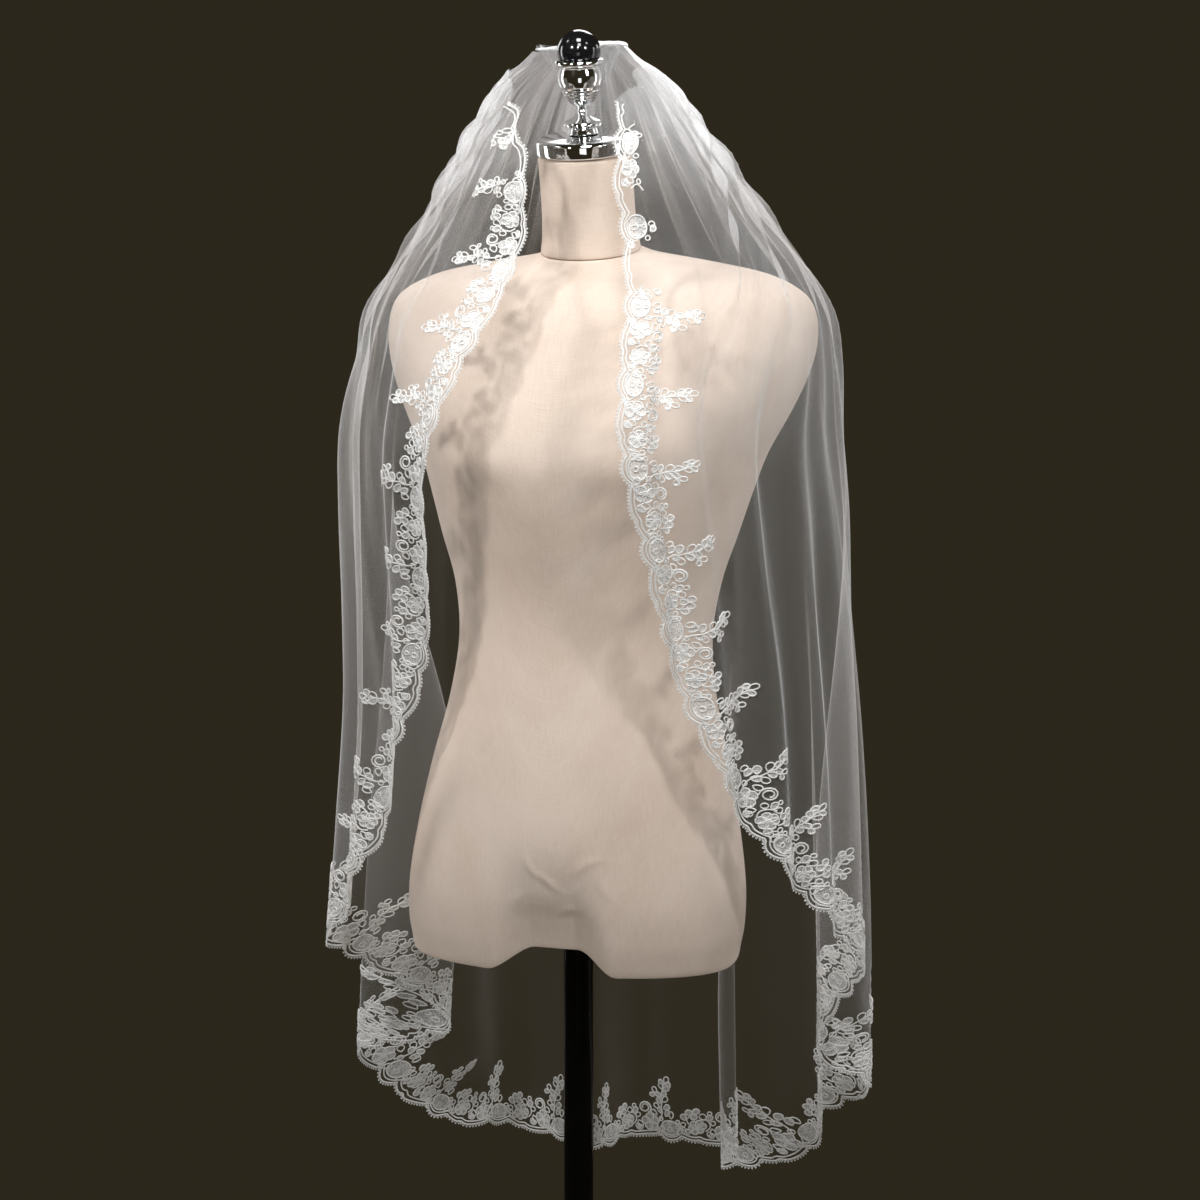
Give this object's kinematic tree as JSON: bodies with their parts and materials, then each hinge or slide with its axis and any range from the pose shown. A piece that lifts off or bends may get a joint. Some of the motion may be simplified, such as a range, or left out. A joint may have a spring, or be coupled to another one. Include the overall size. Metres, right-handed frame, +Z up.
{
  "type": "bridal veil on a dress form",
  "caption": "One-tier fingertip bridal veil of tulle with a scalloped corded lace edge, gathered to a comb and worn by a limbless linen dress form on a round stand.",
  "frame": {"origin": "middle of the underside of the stand's round base, on the pole's axis", "axes": "+Z up along the pole, -Y the way that the dress form faces, +X to the right of someone who looks at its front"},
  "size_m": [0.5315, 0.3966, 1.5958],
  "materials": {
    "linen": "plain woven, matt",
    "chrome": "polished",
    "black_lacquer": "glossy",
    "black_steel": "satin",
    "tulle": "fine open net, matt",
    "clear_plastic": "clear, glossy",
    "lace": "corded lace, soft sheen"
  },
  "bodies": {
    "root": {"stand_base": "black_steel", "stand_collar": "black_steel", "stand_pole": "black_steel", "form_torso": "linen", "form_neck": "linen", "neck_cap": "chrome", "finial_stem": "chrome", "finial_ball": "black_lacquer", "comb": "clear_plastic", "veil_heading": "tulle", "veil_tulle": "tulle", "lace_trim": "lace"}
  },
  "joints": []
}
